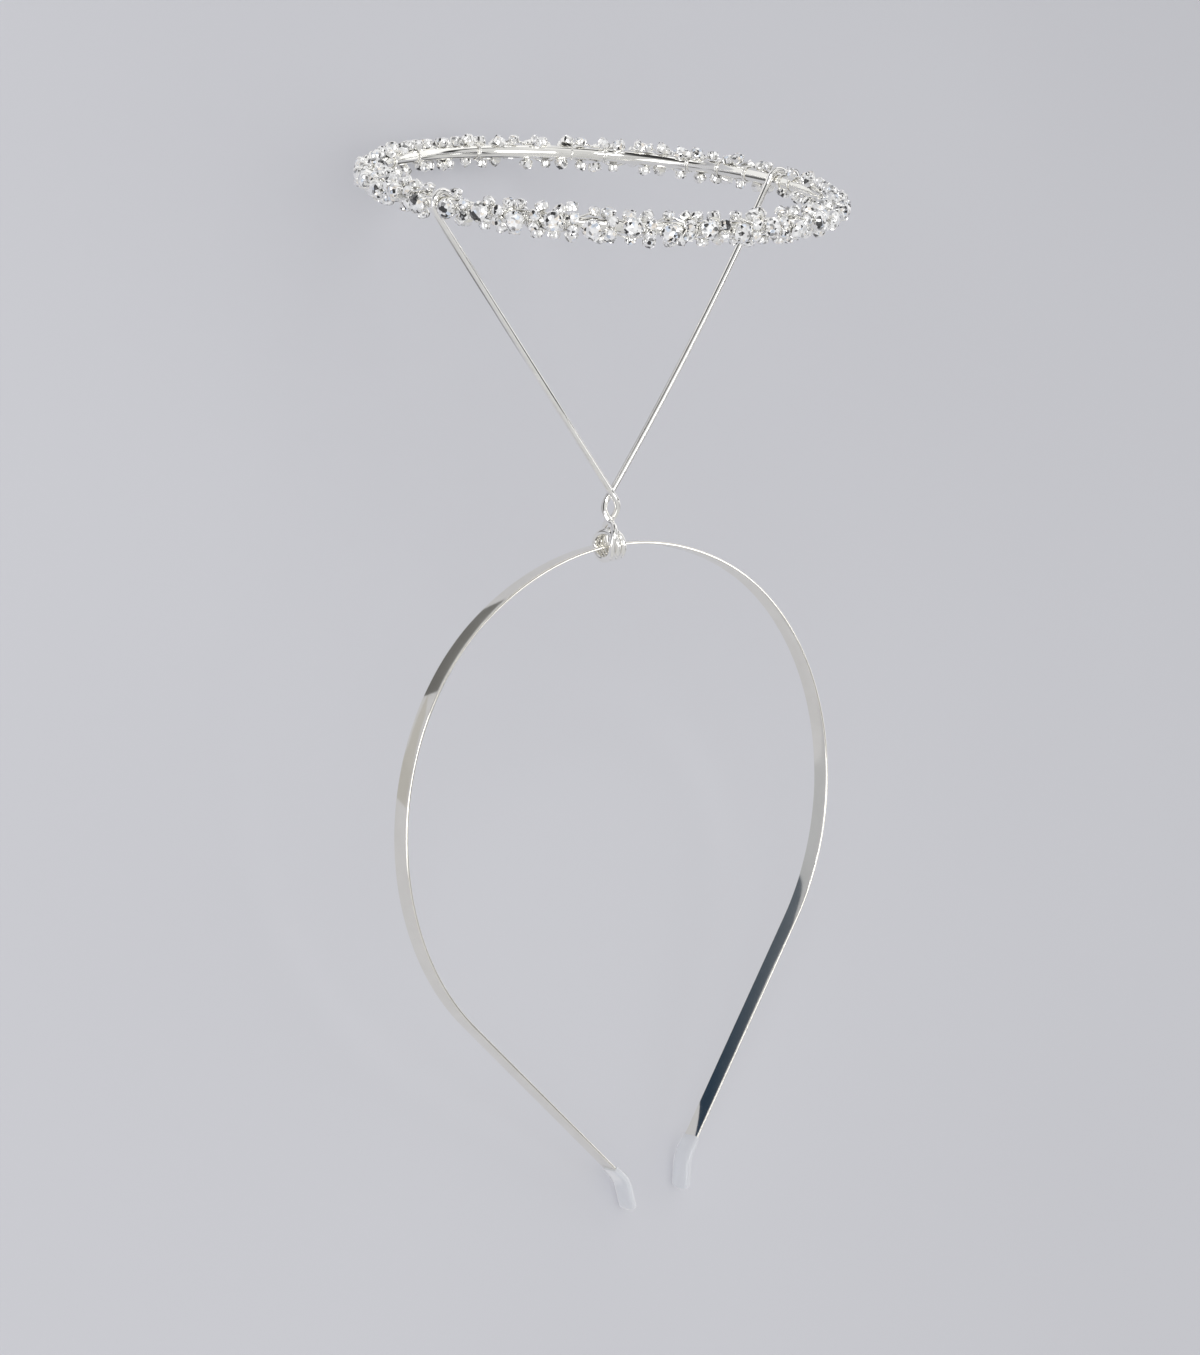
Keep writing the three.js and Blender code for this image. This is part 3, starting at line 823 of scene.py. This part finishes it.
studio = {
    "floorSize": 300, "floorColours": ((0.602, 0.605, 0.643), (0.614, 0.618, 0.656)),
    # Grey from low to high in the sky, by side. It starts pale at the horizon, and the dark bands draw the
    # lines along the wires.
    "calmSky": [(0.02, grey(0.62)), (0.05, grey(0.66)), (0.4, grey(0.6)), (1.0, grey(0.72))],
    "leftSky": [(0.02, grey(0.62)), (0.05, grey(0.04)), (0.62, grey(0.05)), (0.7, grey(0.7)), (1.0, grey(0.72))],
    "backSky": [
        (0.02, grey(0.62)), (0.05, grey(1.3)), (0.17, grey(1.3)), (0.22, grey(0.03)), (0.5, grey(0.05)),
        (0.58, grey(0.95)), (1.0, grey(0.72)),
    ],
    "rightSky": [
        (0.02, grey(0.62)), (0.05, grey(1.1)), (0.61, grey(1.1)), (0.65, grey(0.04)), (0.735, grey(0.06)),
        (0.78, grey(0.7)), (1.0, grey(0.72)),
    ],
    "softBoxes": [
        {"name": "softBoxBehind", "towards": (-0.58, 0.36, 0.73), "size": (0.22, 0.22), "brightness": 5.0},
        {"name": "softBoxAbove", "towards": (-0.02, -0.2, 0.97), "size": (0.6, 0.4), "brightness": 2.8},
        {"name": "softBoxLeft", "towards": (-0.95, -0.05, 0.22), "size": (0.5, 0.34), "brightness": 3.0},
    ],
    # Flags and a glowing card, seen only in the metal and stones: height and corners in millimetres, and
    # the colour at the low and high Y.
    "flags": [
        {
            "name": "cardFront", "lift": 900, "low": grey(1.9), "high": grey(2.1), "glows": True,
            "corners": [(830, -180), (1060, -180), (1080, -880), (850, -880)],
        },
        {
            "name": "flagArm", "lift": 233, "low": grey(0.14), "high": grey(0.1),
            "corners": [(110, -78), (150, -80), (176, -58), (206, -44), (520, -44), (520, 10), (110, 10)],
        },
        {
            "name": "cardBack", "lift": 0.6, "low": grey(0.97), "high": grey(0.99),
            "corners": [(-60, 120), (60, 120), (60, 340), (-60, 340)],
        },
        {
            "name": "flagBack", "lift": 0.5, "low": grey(0.12), "high": grey(0.16),
            "corners": [(-30, 70), (25, 84), (30, 110), (0, 110), (-30, 84)],
        },
        {
            "name": "flagTube", "lift": 234, "low": grey(0.97), "high": grey(0.92),
            "corners": [(120, 10), (340, 10), (340, 84), (120, 84)],
        },
        {
            "name": "flagLeft", "lift": 0.4, "low": grey(0.15), "high": grey(0.2),
            "corners": [(-14, 65), (-22.5, 44), (-42, 38), (-60, 22), (-73, 46), (-57, 60), (-41.5, 66)],
        },
        {
            "name": "flagRight", "lift": 0.4, "low": (0.03, 0.05, 0.08), "high": (0.12, 0.14, 0.17),
            "corners": [
                (35, -39.5), (30, -56), (19, -74), (8, -92), (5, -101), (18, -100), (31, -84.5), (43, -66),
                (52, -54), (52, -51),
            ],
        },
        {
            "name": "greyLeft", "lift": 0.3, "low": (0.5, 0.49, 0.48), "high": (0.53, 0.52, 0.51),
            "corners": [(-64, 30), (-78, 31), (-94, 10), (-94, -10), (-74, -10), (-74, 10)],
        },
        {
            "name": "greyRight", "lift": 0.3, "low": (0.46, 0.475, 0.51), "high": (0.5, 0.51, 0.545),
            "corners": [(30, -35.5), (56, -34.5), (56, -54), (30, -42)],
        },
        {
            "name": "flagOver", "lift": 233, "low": grey(0.55), "high": grey(0.45),
            "corners": [
                (120, -100), (120, -290), (250, -290), (248, -260), (240, -190), (232, -150), (310, -147),
                (310, -106), (200, -100),
            ],
        },
    ],
}


def showFloor(name, corners, height, material):
    mesh = bpy.data.meshes.new(name)
    mesh.from_pydata([(x, y, height) for x, y in corners], [], [tuple(range(len(corners)))])
    mesh.materials.append(material)
    flat = bpy.data.objects.new(name, mesh)
    bpy.context.scene.collection.objects.link(flat)
    return flat


def makeFloor():
    half = studio["floorSize"] / 2
    material, tree, shader = newMaterial("paleFloor", Roughness=0.85, **{"Specular IOR Level": 0.1})
    place = addNode(tree, "ShaderNodeTexCoord")
    cloud = addNode(tree, "ShaderNodeTexNoise", Scale=6.0, Detail=1.0)
    tree.links.new(place.outputs["Object"], cloud.inputs["Vector"])
    low, high = studio["floorColours"]
    tint = rampNode(tree, cloud.outputs["Fac"], [(0.35, low), (0.65, high)])
    tree.links.new(tint.outputs["Color"], shader.inputs["Base Color"])
    showFloor("pale_floor", [(-half, -half), (half, -half), (half, half), (-half, half)], 0, material)


def makeFlag(flag):
    depths = [y * millimetre for _, y in flag["corners"]]
    material, tree, shader = newMaterial(flag["name"], Roughness=0.9, **{"Specular IOR Level": 0.0})
    place = addNode(tree, "ShaderNodeTexCoord")
    apart = addNode(tree, "ShaderNodeSeparateXYZ")
    tree.links.new(place.outputs["Object"], apart.inputs["Vector"])
    share = addNode(tree, "ShaderNodeMapRange", **{"From Min": min(depths), "From Max": max(depths)})
    tree.links.new(apart.outputs["Y"], share.inputs["Value"])
    tint = rampNode(tree, share.outputs["Result"], [(0.1, flag["low"]), (0.9, flag["high"])])
    tree.links.new(tint.outputs["Color"], shader.inputs["Emission Color" if flag.get("glows") else "Base Color"])
    shader.inputs["Emission Strength"].default_value = 1 if flag.get("glows") else 0
    corners = [(x * millimetre, y * millimetre) for x, y in flag["corners"]]
    flat = showFloor(flag["name"], corners, flag["lift"] * millimetre, material)
    flat.visible_camera = False
    flat.visible_diffuse = False
    flat.visible_transmission = False
    flat.visible_shadow = False


def makeSky():
    world = bpy.data.worlds.new("studioSky")
    bpy.context.scene.world = world
    world.use_nodes = True
    tree = world.node_tree
    place = addNode(tree, "ShaderNodeTexCoord")
    apart = addNode(tree, "ShaderNodeSeparateXYZ")
    tree.links.new(place.outputs["Generated"], apart.inputs["Vector"])

    def share(source, low, high):
        node = addNode(tree, "ShaderNodeMapRange", **{"From Min": low, "From Max": high})
        tree.links.new(source, node.inputs["Value"])
        return node.outputs["Result"]

    def blend(amount, first, second):
        node = addNode(tree, "ShaderNodeMix", data_type="RGBA")
        tree.links.new(amount, node.inputs[0])
        tree.links.new(first, node.inputs[6])
        tree.links.new(second, node.inputs[7])
        return node.outputs[2]

    calm, left, back, right = (
        rampNode(tree, apart.outputs["Z"], studio[name]).outputs["Color"]
        for name in ("calmSky", "leftSky", "backSky", "rightSky")
    )
    # How far a direction lies towards Y, turned by a share of X.
    def slanted(shareOfX):
        node = addNode(tree, "ShaderNodeMath", operation="MULTIPLY_ADD")
        node.inputs[1].default_value = shareOfX
        tree.links.new(apart.outputs["X"], node.inputs[0])
        tree.links.new(apart.outputs["Y"], node.inputs[2])
        return node.outputs["Value"]

    near = blend(share(slanted(-0.4), 0.72, 0.82), calm, left)
    near = blend(share(apart.outputs["X"], 0.8, 0.88), near, left)
    far = blend(share(apart.outputs["X"], 0.15, 0.4), back, right)
    sky = blend(share(slanted(0.8), 0.25, 0.4), near, far)
    tree.links.new(sky, tree.nodes["Background"].inputs["Color"])


# A soft box one metre away, as bright as asked whatever its size.
def addSoftBox(box):
    light = bpy.data.lights.new(box["name"], "AREA")
    light.shape = "RECTANGLE"
    light.size, light.size_y = box["size"]
    light.energy = box["brightness"] * math.pi * light.size * light.size_y
    light.use_shadow = False
    lamp = bpy.data.objects.new(box["name"], light)
    bpy.context.scene.collection.objects.link(lamp)
    lamp.location = Vector(box["towards"]).normalized()
    lamp.rotation_euler = (-lamp.location).to_track_quat("-Z", "Y").to_euler()


# The camera sees the worn object as the photograph does; sizes in millimetres and pixels of the photograph.
view = {
    "azimuth": math.radians(44.13), "elevation": math.radians(10.0), "roll": math.radians(-4.66),
    "distance": 800, "target": Vector((-3.87, 0, -28.9)), "focalPixels": 3652, "longSidePixels": 1355, "sensor": 36,
}


def makeCamera():
    azimuth, elevation, roll = view["azimuth"], view["elevation"], view["roll"]
    back = Vector((
        -math.sin(azimuth) * math.cos(elevation), -math.cos(azimuth) * math.cos(elevation), math.sin(elevation),
    ))
    levelRight = Vector((math.cos(azimuth), -math.sin(azimuth), 0))
    levelUp = back.cross(levelRight)
    right = levelRight * math.cos(roll) + levelUp * math.sin(roll)
    up = levelUp * math.cos(roll) - levelRight * math.sin(roll)
    data = bpy.data.cameras.new("camera")
    data.sensor_width = view["sensor"]
    data.lens = view["focalPixels"] * view["sensor"] / view["longSidePixels"]
    data.clip_start, data.clip_end = 0.01, 100
    camera = bpy.data.objects.new("camera", data)
    bpy.context.scene.collection.objects.link(camera)
    turn = wornToFrame.to_3x3().normalized()
    axes = Matrix((turn @ right, turn @ up, turn @ back)).transposed()
    place = wornToFrame @ (view["target"] + back * view["distance"])
    camera.matrix_world = Matrix.Translation(place) @ axes.to_4x4()
    bpy.context.scene.camera = camera


makeFloor()
for studioFlag in studio["flags"]:
    makeFlag(studioFlag)
makeSky()
for softBox in studio["softBoxes"]:
    addSoftBox(softBox)
makeCamera()
bpy.context.scene.view_settings.view_transform = "Standard"
print("studio made")
